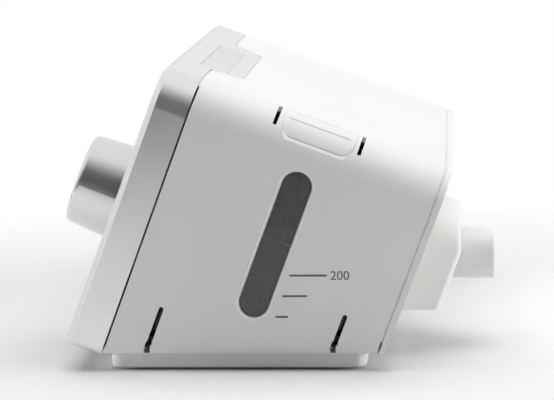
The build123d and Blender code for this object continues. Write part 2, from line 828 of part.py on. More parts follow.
save("humidifier_bay", humidifier_bay)

hinge_pins = [at_hinge(Circle(hinge_pin_radius), y, pin_length) for y in hinge_places]
save("hinge_pins", Compound(hinge_pins))

# Heater plate and water tank
heater_top = tank_bottom - heater_gap
heater = level_slab(heater_centre * Circle(heater_radius), bay_floor, heater_top)
heater += level_slab(heater_centre * Circle(heater_radius + heater_flange), bay_floor - 1.5, bay_floor)
save("heater_plate", heater)


def tank_outline(inset):
    """The tank seen square to its leaned lid, moved in by a wall."""
    radius = tank_radius - inset
    return soft_area(tank_left + inset, tank_right - inset, tank_front + inset, tank_rear - inset, radius)


def above(height):
    """Everything above a level."""
    return block(-half_width, half_width, -body_width, body_width, height, 3 * top_height)


seal_low = tank_split - seal_thickness / 2
seal_high = tank_split + seal_thickness / 2
tank_body = leaned(level_slab(tank_outline(0), -top_height, seal_low)) & above(tank_bottom)
tank_body = fillet(tank_body.edges().group_by(Axis.Z)[0], tank_low_edge)
tank_room = leaned(level_slab(tank_outline(tank_wall), -top_height, seal_low + 1))
tank_body -= tank_room & above(tank_bottom + tank_wall)
tank_body -= level_slab(heater_centre * Circle(heater_radius + plate_gap), 0, tank_bottom + 2 * tank_wall)
save("tank_body", tank_body)
tank_plate = level_slab(heater_centre * Circle(heater_radius), heater_top, heater_top + plate_thickness)
save("tank_base_plate", tank_plate)
seal_area = tank_outline(seal_inset) - tank_outline(seal_inset + seal_width)
save("tank_seal", leaned(level_slab(seal_area, seal_low, seal_high)))
tank_lid = level_slab(tank_outline(0), seal_high, tank_top)
tank_lid = fillet(tank_lid.edges().group_by(Axis.Z)[-1], tank_top_edge)
tank_lid -= level_slab(tank_outline(tank_wall), seal_high - 1, tank_top - tank_wall)
tank_lid = leaned(tank_lid)
tank_lid -= Pos(0, duct_y, duct_z) * side_slab(Circle(duct_radius - duct_wall), 0, tank_left + 2 * tank_wall)
tank_hole = outlet_centre * Circle(port_radius - port_wall)
tank_lid -= leaned(slab(tank_hole, tank_rear - 2 * tank_wall, tank_rear + 1))
save("tank_lid", tank_lid)

# Blower: scroll with a straight outlet, its cover, mounts, motor and impeller
def scroll_outline():
    """The scroll's inside seen from above, round the blower's axis."""
    tongue_y = scroll_top - duct_width
    tongue_angle = degrees(asin(tongue_y / scroll_radius))
    tongue_x = scroll_radius * cos(radians(tongue_angle))
    first = CenterArc((0, 0), scroll_radius, tongue_angle, -tongue_angle - 90)
    second = CenterArc((0, scroll_step), scroll_radius + scroll_step, -90, -90)
    third = CenterArc((scroll_step, scroll_step), scroll_radius + 2 * scroll_step, 180, -90)
    outlet = Polyline(
        (scroll_step, scroll_top),
        (duct_exit, scroll_top),
        (duct_exit, tongue_y),
        (tongue_x, tongue_y),
    )
    return make_face(first + second + third + outlet)


blower_axis = Pos(blower_x, blower_y)
inner_scroll = scroll_outline()
duct_side = area(-2 * duct_exit, duct_exit, -2 * duct_exit, 2 * duct_exit)
outer_scroll = offset(inner_scroll, scroll_wall) & duct_side
scroll_roof = blower_floor + scroll_height
blower_base = level_slab(blower_axis * outer_scroll, blower_low, scroll_roof)
blower_base -= level_slab(blower_axis * inner_scroll, blower_floor, scroll_roof)
for x, y in mount_places:
    blower_base += level_slab(Pos(x, y) * Circle(lug_radius), blower_low, blower_floor)
blower_base -= level_slab(blower_axis * Circle(2 * shaft_radius), 0, scroll_roof)
save("blower_base", blower_base)
blower_cover = level_slab(blower_axis * outer_scroll, scroll_roof, scroll_roof + scroll_wall)
collar = blower_axis * Circle(inlet_radius + scroll_wall)
blower_cover += level_slab(collar, scroll_roof, scroll_roof + 3 * scroll_wall)
blower_cover -= level_slab(blower_axis * Circle(inlet_radius), scroll_roof, scroll_roof + 4 * scroll_wall)
save("blower_cover", blower_cover)
blower_mounts = []
for x, y in mount_places:
    mount = level_slab(Pos(x, y) * Circle(mount_radius), mount_low, blower_low)
    neck = Pos(x, y, mount_low + mount_height / 2) * Torus(mount_radius + 0.6, 1.6)
    blower_mounts.append(mount - neck)
save("blower_mounts", Compound(blower_mounts))
motor = level_slab(blower_axis * Circle(motor_radius), blower_low - motor_length, blower_low)
motor = fillet(motor.edges().group_by(Axis.Z)[0], 2)
motor_groove = blower_axis * ring(motor_radius + 1, motor_radius - motor_groove_depth)
groove_top = blower_low - motor_groove_step
motor -= level_slab(motor_groove, groove_top - motor_groove_width, groove_top)
motor -= level_slab(blower_axis * Circle(shaft_radius + running_gap), 0, blower_low)
save("motor", motor)
impeller_low = blower_floor + 1.5
impeller_top = impeller_low + impeller_height
shaft_low = blower_low - motor_length - 2
rotor_shaft = level_slab(blower_axis * Circle(shaft_radius), shaft_low, impeller_top)
save("rotor_shaft", rotor_shaft)
hub_radius = 3.5 * shaft_radius
wheel = level_slab(Circle(impeller_radius), impeller_low, impeller_low + impeller_plate)
wheel += level_slab(Circle(hub_radius), impeller_low, impeller_top)
bend_ring = Pos(0, blade_bend) * ring(blade_bend + blade_thickness / 2, blade_bend - blade_thickness / 2)
blade_area = bend_ring & ring(impeller_radius - 0.5, hub_radius - 0.8)
blade_area = blade_area & area(0, impeller_radius, -impeller_radius, impeller_radius)
for number in range(blade_count):
    blade = Rot(0, 0, number * 360 / blade_count) * blade_area
    wheel += level_slab(blade, impeller_low + impeller_plate - 0.2, impeller_top)
wheel -= level_slab(Circle(shaft_radius), 0, impeller_top)
save("impeller", blower_axis * wheel)

# Duct from the scroll's square outlet to the tank's round inlet
duct_start = blower_x + duct_exit
duct_round = duct_start + duct_adapter
duct_end = tank_left - seal_thickness


def duct_form(wall):
    """The duct's form with its wall moved in."""
    square = Rectangle(duct_width + 2 * scroll_wall - 2 * wall, scroll_height + 2 * scroll_wall - 2 * wall)
    start_face = Plane.YZ.offset(duct_start) * fillet(square.vertices(), 2.5)
    round_face = Plane.YZ.offset(duct_round) * Circle(duct_radius - wall * duct_wall / scroll_wall)
    return loft([start_face, round_face]) + extrude(round_face, amount=duct_end - duct_round)


air_duct = Pos(0, duct_y, duct_z) * (duct_form(0) - duct_form(scroll_wall))
save("air_duct", air_duct)
inlet_seal = Pos(0, duct_y, duct_z) * side_slab(ring(duct_radius, duct_radius - duct_wall), duct_end, tank_left)
save("inlet_seal", inlet_seal)

# Rear cover with its filter frame, and the hinged filter cover
cover = shell_form(0, cover_start, cover_end)
cover = fillet(cover.faces().sort_by(Axis.Y)[-1].edges().filter_by(GeomType.LINE).sort_by(Axis.Z)[-1], 0.8)
filter_x = (filter_left, filter_right)
frame_low = filter_low - fit_gap - filter_frame
frame_high = filter_high + fit_gap + filter_frame
frame_left = filter_left - fit_gap - filter_frame
frame_right = filter_right + fit_gap + filter_frame
frame_start = cover_start - filter_depth - filter_frame
filter_box = slab(area(frame_left, frame_right, frame_low, frame_high), frame_start, cover_start)
cover += leaned(filter_box)
room = area(filter_left - fit_gap, filter_right + fit_gap, filter_low - fit_gap, filter_high + fit_gap)
cover -= leaned(slab(room, cover_start - filter_depth, cover_end + 1))
ledge_room = area(
    filter_left + filter_ledge,
    filter_right - filter_ledge,
    filter_low + filter_ledge,
    filter_high - filter_ledge,
)
cover -= leaned(slab(ledge_room, frame_start - 1, cover_start))
hinge_p = (cover_start + cover_end) / 2
hinge_radius = rear_cover_thickness / 2
hinge_q = filter_low + hinge_radius
pin_hole = side_slab(Pos(hinge_p, hinge_q) * Circle(filter_pin_radius + running_gap), frame_left, frame_right)
cover -= leaned(pin_hole)
cover -= leaned(slab(outlet_centre * Circle(outlet_duct_radius + fit_gap), cover_start - 1, cover_end + 1))
inlet_half = inlet_width / 2
inlet_low = inlet_q - inlet_height / 2
inlet_high = inlet_q + inlet_height / 2


def inlet_outline(margin):
    """The power inlet seen from behind, with a margin round it."""
    left = inlet_x - inlet_half - margin
    right = inlet_x + inlet_half + margin
    return soft_area(left, right, inlet_low - margin, inlet_high + margin, inlet_corner + margin)


cover -= leaned(slab(inlet_outline(slide_gap), cover_start - 1, cover_end + 1))
for x, q in screw_places:
    cover -= leaned(slab(Pos(x, q) * Circle(screw_radius + slide_gap), cover_start - 1, cover_end))
    head_room = Pos(x, q) * Circle(screw_head_radius + slide_gap)
    cover -= leaned(slab(head_room, cover_end - screw_head_height, cover_end + 1))
relief = leaned(slab(area(0, half_width, 0, top_height), cover_start, cover_start + cover_relief))
cover -= relief & Pos(hinge_x, 0, hinge_height) * slab(Circle(hinge_sweep), 0, body_width)
save("rear_cover", cover)

flap_area = area(filter_left, filter_right, filter_low + hinge_radius, filter_high)
flap = slab(flap_area, cover_start, cover_end)
flap += side_slab(Pos(hinge_p, hinge_q) * Circle(hinge_radius), *filter_x)
filter_mid_x = (filter_left + filter_right) / 2
flap -= slab(Pos(filter_mid_x, filter_high) * Circle(filter_grip_radius), hinge_p, cover_end + 1)
slot_pitch = (filter_high - filter_low - 2 * filter_edge) / filter_slots
slot_round = filter_slot_height / 2.1
for number in range(filter_slots):
    low = filter_low + filter_edge + number * slot_pitch
    high = low + filter_slot_height
    slot = soft_area(filter_left + filter_edge, filter_right - filter_edge, low, high, slot_round)
    flap -= slab(slot, cover_start - 1, cover_end + 1)
pin = side_slab(
    Pos(hinge_p, hinge_q) * Circle(filter_pin_radius),
    filter_left - fit_gap - 1,
    filter_right + fit_gap + 1,
)
flap += pin
save("filter_cover", leaned(flap))
foam_area = area(filter_left, filter_right, filter_low, filter_high)
save("inlet_filter", leaned(slab(foam_area, cover_start - filter_depth, cover_start - fit_gap)))
jack = slab(inlet_outline(0), cover_end - inlet_length, cover_end)
jack -= slab(Pos(inlet_x, inlet_q) * Circle(socket_radius), cover_end - socket_depth, cover_end)
jack += slab(Pos(inlet_x, inlet_q) * Circle(socket_pin_radius), cover_end - socket_depth - 1, cover_end - 1)
save("power_inlet", leaned(jack))
housing_screws = []
for x, q in screw_places:
    head_start = cover_end - screw_head_height
    screw = slab(Pos(x, q) * Circle(screw_head_radius), head_start, cover_end - fit_gap)
    screw += slab(Pos(x, q) * Circle(screw_radius), head_start - screw_length, head_start)
    cross = Rectangle(screw_cross_length, screw_cross_width) + Rectangle(screw_cross_width, screw_cross_length)
    screw -= slab(Pos(x, q) * cross, cover_end - fit_gap - screw_cross_depth, cover_end)
    housing_screws.append(leaned(screw))
save("housing_screws", Compound(housing_screws))

# Outlet housing on the rear, the leaned duct in it, its seal and the hose port
def outlet_form(inset):
    """The outlet housing's form, moved in by a wall."""
    crest = outlet_crest - inset * (1 / cos(radians(outlet_slope)) - tan(radians(outlet_slope)))
    inner_y = lean_y(cover_start - outlet_depth, outlet_crest)
    points = [
        (lean_y(cover_start - outlet_depth, outlet_low + inset), outlet_low + inset),
        (lean_y(outlet_lean_depth - inset, outlet_low + inset), outlet_low + inset),
        (port_face_y - inset, lean_height(port_face_y - inset, outlet_lean_depth - inset)),
        (port_face_y - inset, crest),
        (inner_y, crest + (port_face_y - inset - inner_y) * tan(radians(outlet_slope))),
    ]
    outline = make_face(Polyline(*points, close=True))
    section = area(outlet_left + inset, outlet_right - inset, -2 * outlet_crest, -inset)
    section = fillet(section.vertices().group_by(Axis.Y)[-1], outlet_round - inset)
    roof_form = Rot(-outlet_slope, 0, 0) * slab(section, -body_width, outlet_reach)
    return side_slab(outline, outlet_left, outlet_right) & Pos(0, port_face_y, outlet_crest) * roof_form


before_cover = leaned(block(-half_width, half_width, -body_width, cover_end, -body_width, 2 * body_width))
outer_box = outlet_form(0)
rear_faces = [f for f in outer_box.faces() if f.normal_at().Y > 0.9]
outer_box = fillet(ShapeList([e for f in rear_faces for e in f.edges()]), outlet_edge)
outlet_housing = outer_box - outlet_form(outlet_wall) - before_cover
port_axis = Pos(port_x, 0, port_height)
outlet_housing -= port_axis * slab(Circle(port_neck_radius + slide_gap), port_face_y - outlet_reach, port_end_y)
save("outlet_housing", outlet_housing)
flange_back = port_face_y - outlet_wall
port_low_y = flange_back - port_flange
flange_disc = port_axis * slab(Circle(port_radius + port_flange), port_low_y, flange_back)
outlet_port = flange_disc & outlet_form(outlet_wall)
outlet_port += port_axis * slab(Circle(port_neck_radius), port_low_y, port_face_y + port_neck_gap)
outlet_port += port_axis * slab(Circle(port_radius), port_face_y + port_neck_gap, port_end_y)
outlet_port -= port_axis * slab(Circle(port_radius - port_wall), port_low_y - 10, port_end_y)
outer_edges = outlet_port.edges().filter_by(GeomType.CIRCLE).group_by(Axis.Y)[-1]
outlet_port = chamfer(outer_edges, 0.4)
save("outlet_port", outlet_port)
seal_end = tank_rear + seal_thickness
duct_outline = ring(outlet_duct_radius, port_radius - port_wall)
outlet_duct = leaned(slab(outlet_centre * duct_outline, seal_end, outlet_lean_depth))
outlet_duct -= block(0, half_width, port_low_y - fit_gap, body_width, 0, top_height)
save("outlet_duct", outlet_duct)
outlet_seal = slab(outlet_centre * ring(outlet_duct_radius, port_radius - port_wall), tank_rear, seal_end)
save("outlet_seal", leaned(outlet_seal))

# Main board with its larger parts
main_front = plinth_mid - main_board_half
main_area = area(main_board_left, main_board_right, main_front, plinth_mid + main_board_half)
for x, y in mount_places:
    main_area -= Pos(x, y) * Circle(mount_radius + 1)
main_top = board_low_face + board_thickness
save("main_board", level_slab(main_area, board_low_face, main_top))
board_parts = []
for number in range(can_count):
    can = Pos(main_board_left + (number + 1) * can_pitch, main_front + 2 * can_radius) * Circle(can_radius)
    body = level_slab(can, main_top, main_top + can_height)
    board_parts.append(fillet(body.edges().group_by(Axis.Z)[-1], can_radius / 6))
plug_x = blower_x + lug_offset - 2 * can_radius
plug_top = main_top + plug_height
plug_rear = plinth_mid + can_pitch
board_parts.append(block(plug_x, plug_x + 4 * can_radius, plinth_mid, plug_rear, main_top, plug_top))
side_plug_x = post_x[0] + 2 * can_radius
side_plug_front = plinth_mid - can_pitch
board_parts.append(block(post_x[0], side_plug_x, side_plug_front, plinth_mid, main_top, plug_top))
chip_x = blower_x - chip_length / 4
chip_front = main_front + can_pitch + can_radius
chip_top = main_top + chip_height
chip_rear = chip_front + chip_length / 2
board_parts.append(block(chip_x, chip_x + chip_length, chip_front, chip_rear, main_top, chip_top))
save("board_parts", Compound(board_parts))
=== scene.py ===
# %% [markdown]
# # A bedside breathing machine, dressed for its portrait
# The solids of this machine come in at their real size and place: a leaning box
# with a silver front frame, a push dial, a side door with a window, a white plinth
# and a hose port at the rear. This file gives them their finishes, adds what is
# printed on the door, closes the seams, and sets up the floor, the light and the
# camera. The solids are never moved or resized, because the joints belong to them.

# %% Load the solids
import json
import math
import bmesh
import bpy
from mathutils import Matrix, Vector


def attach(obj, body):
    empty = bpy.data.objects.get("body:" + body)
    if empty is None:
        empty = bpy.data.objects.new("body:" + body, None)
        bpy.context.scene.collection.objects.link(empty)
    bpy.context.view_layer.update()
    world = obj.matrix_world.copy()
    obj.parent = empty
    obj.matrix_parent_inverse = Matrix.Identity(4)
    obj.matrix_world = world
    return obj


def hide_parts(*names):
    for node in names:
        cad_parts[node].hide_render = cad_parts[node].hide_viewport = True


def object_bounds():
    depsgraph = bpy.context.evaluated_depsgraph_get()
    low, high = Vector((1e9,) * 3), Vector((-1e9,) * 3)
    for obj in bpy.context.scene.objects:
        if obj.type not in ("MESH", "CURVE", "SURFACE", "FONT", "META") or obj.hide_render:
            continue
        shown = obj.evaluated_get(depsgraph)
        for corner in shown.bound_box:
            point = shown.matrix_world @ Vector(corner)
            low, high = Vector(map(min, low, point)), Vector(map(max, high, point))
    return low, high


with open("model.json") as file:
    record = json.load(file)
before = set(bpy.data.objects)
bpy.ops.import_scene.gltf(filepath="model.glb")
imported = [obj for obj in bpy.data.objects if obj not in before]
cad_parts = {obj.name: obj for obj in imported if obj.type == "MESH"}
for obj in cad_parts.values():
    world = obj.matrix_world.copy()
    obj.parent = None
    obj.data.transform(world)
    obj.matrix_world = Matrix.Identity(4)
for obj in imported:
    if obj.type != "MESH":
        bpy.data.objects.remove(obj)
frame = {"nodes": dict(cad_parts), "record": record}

scene = bpy.context.scene
scene.view_settings.view_transform = "Standard"
solid_low, solid_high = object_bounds()
print("box of the solids:", [round(v, 4) for v in (*solid_low, *solid_high)])

# %% [markdown]
# ## Where the camera stands
# The machine is seen from its door side with a long lens, from a little above. A long
# lens keeps the leaning edges almost parallel. A camera can be turned by three
# angles, or by the three directions that it calls right, up and back. The directions
# were worked out from the edges of the real machine, so they are written down as
# they are, as the columns of a rotation matrix, and no order of turning is needed.

# %% Camera
def put_in_scene(name, data):
    """An object for a mesh, a curve, a lamp or a camera, linked to the scene."""
    made = bpy.data.objects.new(name, data)
    scene.collection.objects.link(made)
    return made


sensor_width = 36.0
focal_pixels, frame_pixels = 2500.0, 554.0
camera_data = bpy.data.cameras.new("portrait_camera")
camera_data.sensor_fit = "HORIZONTAL"
camera_data.sensor_width = sensor_width
camera_data.lens = focal_pixels * sensor_width / frame_pixels
camera_data.clip_start, camera_data.clip_end = 0.05, 50.0
right = Vector((-0.06923, 0.99749, -0.01514))
up = Vector((-0.14736, 0.00479, 0.98907))
back = right.cross(up)
stand = Matrix.Translation((1.1225, 0.0739, 0.2200))
camera = put_in_scene("portrait_camera", camera_data)
camera.matrix_world = stand @ Matrix((right, up, back)).transposed().to_4x4()
scene.camera = camera
looking = [round(-v, 3) for v in back]
print("lens", round(camera_data.lens, 1), "mm, looking along", looking)

# %% [markdown]
# ## Small helpers for finishes
# A finish could be painted as a picture and wrapped round a piece. Every finish here
# is made of nodes instead, which need no wrapping and show no seam from any side. The
# helpers only save typing: one adds a node and fills its inputs, one makes a material
# with a shader in it, one adds noise that is measured on the object in metres, two
# let a pattern change the gloss or the colour, and one makes a very shallow bump.

# %% Helpers for nodes
def add_node(tree, kind, inputs, **settings):
    """A new node. An input gets a number, a colour, or the output of another node."""
    node = tree.nodes.new(kind)
    for name, value in settings.items():
        setattr(node, name, value)
    for socket, value in inputs.items():
        if isinstance(value, bpy.types.NodeSocket):
            tree.links.new(value, node.inputs[socket])
        else:
            node.inputs[socket].default_value = value
    return node


def calculate(tree, operation, *values):
    """One step of arithmetic on numbers or on the outputs of other nodes."""
    step = add_node(tree, "ShaderNodeMath", dict(enumerate(values)), operation=operation)
    return step.outputs["Value"]


def new_finish(name, colour, roughness, metallic=0.0, coat=0.0,
               coat_roughness=0.1, specular=0.5):
    """A material with one shader, ready for more nodes."""
    finish = bpy.data.materials.new(name)
    finish.use_nodes = True
    shader = finish.node_tree.nodes["Principled BSDF"]
    values = {
        "Base Color": (*colour, 1.0),
        "Roughness": roughness,
        "Metallic": metallic,
        "Coat Weight": coat,
        "Coat Roughness": coat_roughness,
        "Specular IOR Level": specular,
    }
    for socket, value in values.items():
        shader.inputs[socket].default_value = value
    return finish, shader


# %% Helpers for patterns
def noise_on(finish, size, detail=3.0, stretch=(1.0, 1.0, 1.0)):
    """Noise whose grains have a given size in metres."""
    tree = finish.node_tree
    place = add_node(tree, "ShaderNodeTexCoord", {})
    scale = add_node(tree, "ShaderNodeMapping", {
        "Vector": place.outputs["Object"],
        "Scale": stretch,
    })
    noise = add_node(tree, "ShaderNodeTexNoise", {
        "Vector": scale.outputs["Vector"],
        "Scale": 1.0 / size,
        "Detail": detail,
    })
    return noise.outputs["Fac"]


def vary_gloss(finish, shader, pattern, low, high):
    """Let a pattern move the roughness between two values."""
    pattern_low, pattern_high = 0.3, 0.7
    spread = add_node(finish.node_tree, "ShaderNodeMapRange", {
        "Value": pattern,
        "From Min": pattern_low,
        "From Max": pattern_high,
        "To Min": low,
        "To Max": high,
    })
    finish.node_tree.links.new(spread.outputs["Result"], shader.inputs["Roughness"])


def vary_colour(finish, shader, pattern, dark, light):
    """Let a pattern choose between two close colours."""
    pattern_low, pattern_high = 0.35, 0.65
    ramp = add_node(finish.node_tree, "ShaderNodeValToRGB", {"Fac": pattern})
    plan = ((pattern_low, dark), (pattern_high, light))
    for stop, (position, colour) in zip(ramp.color_ramp.elements, plan):
        stop.position = position
        stop.color = (*colour, 1.0)
    finish.node_tree.links.new(ramp.outputs["Color"], shader.inputs["Base Color"])


def bump(finish, shader, pattern, depth):
    """Turn a pattern into a bump of a given depth in metres."""
    relief = add_node(finish.node_tree, "ShaderNodeBump", {
        "Height": pattern,
        "Distance": depth,
    })
    finish.node_tree.links.new(relief.outputs["Normal"], shader.inputs["Normal"])


def shade(colour, factor):
    """A colour made a little darker or lighter."""
    return tuple(min(1.0, channel * factor) for channel in colour)


# %% [markdown]
# ## Moulded plastic
# The white case is injection moulded with a very fine satin texture. One flat white
# would do from afar, but near by it would look like paper. What makes it look like
# plastic is small: a grain about a third of a millimetre across that is only a few
# thousandths deep, a slow change of gloss over the large faces, and hardly any change
# of colour. The inner plastics are made the same way in other colours.

# %% Moulded plastic
def moulded_plastic(name, colour, roughness, grain=0.00035, depth=0.000006, coat=0.0):
    """Satin plastic with a fine grain, and with slow changes of gloss and tone."""
    finish, shader = new_finish(name, colour, roughness, coat=coat)
    bump(finish, shader, noise_on(finish, grain, 4.0), depth)
    cloud_size, gloss_change = 0.045, 0.05
    clouds = noise_on(finish, cloud_size, 2.0)
    vary_gloss(finish, shader, clouds, roughness - gloss_change, roughness + gloss_change)
    vary_colour(finish, shader, clouds, shade(colour, 0.985), shade(colour, 1.01))
    return finish


case_white, case_roughness = (0.85, 0.848, 0.835), 0.42
white_plastic = moulded_plastic("white_case_plastic", case_white, case_roughness)
door_plastic = moulded_plastic("white_door_plastic", case_white, 0.40)
port_plastic = moulded_plastic("port_plastic", (0.79, 0.80, 0.79), 0.38)
inner_grey = moulded_plastic("inner_grey_plastic", (0.50, 0.52, 0.52), 0.5)
# painted shade: the tank's liner is near black because it stands in the dark behind the
# door
bay_painted_shade = moulded_plastic("bay_plastic_painted_shade", (0.035, 0.037, 0.038), 0.5)
inner_dark = moulded_plastic("inner_dark_plastic", (0.05, 0.055, 0.06), 0.5)
impeller_white = moulded_plastic("impeller_plastic", (0.70, 0.70, 0.67), 0.45)
print("moulded plastics: case, door, port, grey, bay, dark and impeller")

# %% [markdown]
# ## Silver paint
# The front frame, the start button and the dial are plastic with a silver paint. A
# plain metal would be too bright and a grey plastic too dull, because silver paint is
# many tiny flakes in a clear coat. So it is part metal and part pigment: mostly
# metallic, with a fine flake pattern that changes the colour and tips the surface a
# little, a slow change of gloss, and a thin coat on top.

# %% Silver paint
def silver_paint(name, colour, roughness, metallic):
    """Paint with metal flakes under a thin clear coat."""
    finish, shader = new_finish(name, colour, roughness, metallic=metallic,
                                coat=0.15, coat_roughness=0.2)
    flake_size, flake_tip = 0.00022, 0.0000012
    cloud_size, gloss_change = 0.03, 0.04
    flakes = noise_on(finish, flake_size, 2.0)
    clouds = noise_on(finish, cloud_size, 2.0)
    bump(finish, shader, flakes, flake_tip)
    vary_gloss(finish, shader, clouds, roughness - gloss_change, roughness + gloss_change)
    vary_colour(finish, shader, flakes, shade(colour, 0.96), shade(colour, 1.04))
    return finish


frame_silver = silver_paint("silver_frame_paint", (0.81, 0.813, 0.815), 0.21, 0.74)
button_silver = silver_paint("silver_button_paint", (0.79, 0.793, 0.795), 0.32, 0.74)
dial_silver = silver_paint("silver_dial_paint", (0.78, 0.785, 0.782), 0.22, 0.85)
print("silver paints: frame, button and dial")

# %% [markdown]
# ## Black gloss and clear plates
# The front panel is polished black plastic, and faint swirls in its gloss are what
# gives such panels away. They could be scratched in with a bump, but real ones have
# almost no depth, so a wide, very weak noise moves the roughness instead. The plates
# over the display and in the door's window are see-through: they let light pass with
# a light tint. Half transparent paint would be quicker, but it wouldn't bend light.

# %% Black gloss and clear plastics
def polished(name, colour, roughness):
    """Polished dark plastic with faint swirls that lie flat."""
    finish, shader = new_finish(name, colour, roughness, coat=0.2,
                                coat_roughness=0.03, specular=0.35)
    swirl_size, ripple_size, ripple_depth = 0.02, 0.004, 0.000002
    swirls = noise_on(finish, swirl_size, 5.0, stretch=(1.0, 1.0, 3.0))
    vary_gloss(finish, shader, swirls, roughness, roughness + 0.05)
    bump(finish, shader, noise_on(finish, ripple_size, 2.0), ripple_depth)
    return finish


def clear_plastic(name, colour, roughness, see_through, ior=1.5):
    """Plastic that lets light through, a little hazy in places."""
    finish, shader = new_finish(name, colour, roughness)
    shader.inputs["Transmission Weight"].default_value = see_through
    shader.inputs["IOR"].default_value = ior
    haze_size, ripple_size, ripple_depth = 0.012, 0.003, 0.0000015
    haze = noise_on(finish, haze_size, 3.0)
    vary_gloss(finish, shader, haze, roughness, roughness + 0.08)
    bump(finish, shader, noise_on(finish, ripple_size, 2.0), ripple_depth)
    return finish


panel_black = polished("black_panel", (0.006, 0.006, 0.007), 0.06)
display_glass = polished("display_glass", (0.012, 0.016, 0.018), 0.08)
lens_clear = clear_plastic("clear_display_plate", (0.80, 0.83, 0.83), 0.03, 1.0, ior=1.38)
window_clear = clear_plastic("window_plate", (0.66, 0.67, 0.64), 0.04, 0.98)
print("black gloss and clear plates made")

# %% [markdown]
# ## The smoked tank
# The water tank is smoked plastic, seen through the door's window. Its colour is
# painted darker towards the bottom and lighter towards the top, which is painted
# shade and painted light. Two colours on two pieces would leave a line between them.
# So the colour runs with the height of each point, from the dark one near the tank's
# floor to the lighter one below its top.

# %% Smoked tank
# painted shade and light: the tank is darker towards its floor and lighter near its top
tank_painted_shade, tank_painted_light = (0.028, 0.029, 0.026), (0.075, 0.077, 0.073)
tank_low, tank_high = 0.02, 0.085
tank_smoke = clear_plastic("smoked_tank_plastic", (0.052, 0.054, 0.049), 0.22, 0.35)
tank_tree = tank_smoke.node_tree
tank_place = add_node(tank_tree, "ShaderNodeTexCoord", {})
tank_parts = add_node(tank_tree, "ShaderNodeSeparateXYZ", {
    "Vector": tank_place.outputs["Object"],
})
tank_shade_by_height = add_node(tank_tree, "ShaderNodeMapRange", {
    "Value": tank_parts.outputs["Z"],
    "From Min": tank_low,
    "From Max": tank_high,
})
vary_colour(tank_smoke, tank_tree.nodes["Principled BSDF"],
            tank_shade_by_height.outputs["Result"], tank_painted_shade, tank_painted_light)
print("the tank's colour runs from", tank_low, "to", tank_high, "m above the table")

# %% [markdown]
# ## Rubber, metal, boards and the filter
# The pieces behind the case hardly show, but the door and the filter cover open on
# them. One grey for all would look like a model kit, so each gets the finish that it
# has: dull rubber with a rough skin, metal with long brushed strokes, a coated green
# board, and a soft white filter pad, which is the moulded plastic with a coarse,
# deep grain.

# %% Rubber, metal, board and filter
def rubber(name, colour):
    """Dull rubber with a rough skin and uneven colour."""
    finish, shader = new_finish(name, colour, 0.8, specular=0.3)
    skin_size, skin_depth, patch_size = 0.0005, 0.00002, 0.004
    bump(finish, shader, noise_on(finish, skin_size, 4.0), skin_depth)
    patches = noise_on(finish, patch_size, 3.0)
    vary_colour(finish, shader, patches, shade(colour, 0.8), shade(colour, 1.2))
    return finish


def brushed_metal(name, colour, roughness):
    """Metal with long fine strokes."""
    finish, shader = new_finish(name, colour, roughness, metallic=1.0)
    stroke_width, stroke_depth = 0.0006, 0.000004
    strokes = noise_on(finish, stroke_width, 4.0, stretch=(1.0, 1.0, 0.04))
    bump(finish, shader, strokes, stroke_depth)
    vary_gloss(finish, shader, strokes, roughness - 0.06, roughness + 0.1)
    return finish


feet_rubber = rubber("black_foot_rubber", (0.02, 0.02, 0.02))
seal_rubber = rubber("grey_seal_rubber", (0.35, 0.37, 0.38))
steel = brushed_metal("pin_steel", (0.55, 0.55, 0.56), 0.28)
plain_metal = brushed_metal("plain_metal", (0.70, 0.71, 0.72), 0.35)
board_green = moulded_plastic("board_coating", (0.02, 0.11, 0.05), 0.35,
                              grain=0.002, depth=0.00002, coat=0.4)
part_cases = moulded_plastic("board_part_cases", (0.03, 0.03, 0.035), 0.45, grain=0.001)
filter_pad = moulded_plastic("filter_fibres", (0.82, 0.82, 0.79), 0.95,
                             grain=0.0006, depth=0.0004)
print("rubbers, metals, board, board parts and filter pad made")

# %% [markdown]
# ## Each piece gets its finish
# Every solid names a material slot in the record, such as white_shell. The finishes
# could be given piece by piece, but a table from slot to finish can't miss one: a slot
# without a finish stops the script. The liner round the tank shares its slot with
# other inner pieces. It stands in the dark behind the door, so it gets a near black
# finish of its own, which is painted shade.

# %% Finishes of the slots
finish_of_slot = {
    "white_shell": white_plastic,
    "door_white": door_plastic,
    "latch_white": door_plastic,
    "filter_cover_white": white_plastic,
    "rubber": feet_rubber,
    "silver_paint": frame_silver,
    "silver_button": button_silver,
    "knob_silver": dial_silver,
    "black_gloss": panel_black,
    "clear_lens": lens_clear,
    "window_smoke": window_clear,
    "tank_smoke": tank_smoke,
    "display_dark": display_glass,
    "board_green": board_green,
    "board_parts": part_cases,
    "inner_metal": plain_metal,
    "steel": steel,
    "inner_grey": inner_grey,
    "inner_dark": inner_dark,
    "seal_grey": seal_rubber,
    "port_grey": port_plastic,
    "filter_foam": filter_pad,
    "impeller_plastic": impeller_white,
}


def give_finish(node_name, finish):
    """Put one finish on a solid."""
    for slot in frame["nodes"][node_name].material_slots:
        slot.material = finish


for row in frame["record"]["subparts"]:
    give_finish(row["node"], finish_of_slot[row["material_slot"]])
# painted shade: the liner round the tank gets the near black finish
give_finish("humidifier_bay", bay_painted_shade)
print("finished nodes:", len(frame["nodes"]))

# %% [markdown]
# ## What is printed on the door
# Three short lines and a number beside the window show how full the tank is. They
# could be dark patches in the door's material, but then their edges would be soft. Ink
# has almost no thickness, so each line is a strip with round ends that stands three
# hundredths of a millimetre proud of the door. The number is made from the built-in
# font and turned into a mesh. All of them ride on the door, and swing down with it.

# %% Level marks
door_face = solid_high.x
ink_height, mark_width = 0.00003, 0.0008
ink, ink_shader = new_finish("printed_ink", (0.10, 0.105, 0.11), 0.45)
vary_colour(ink, ink_shader, noise_on(ink, 0.0006, 3.0),
            (0.085, 0.09, 0.095), (0.13, 0.135, 0.14))


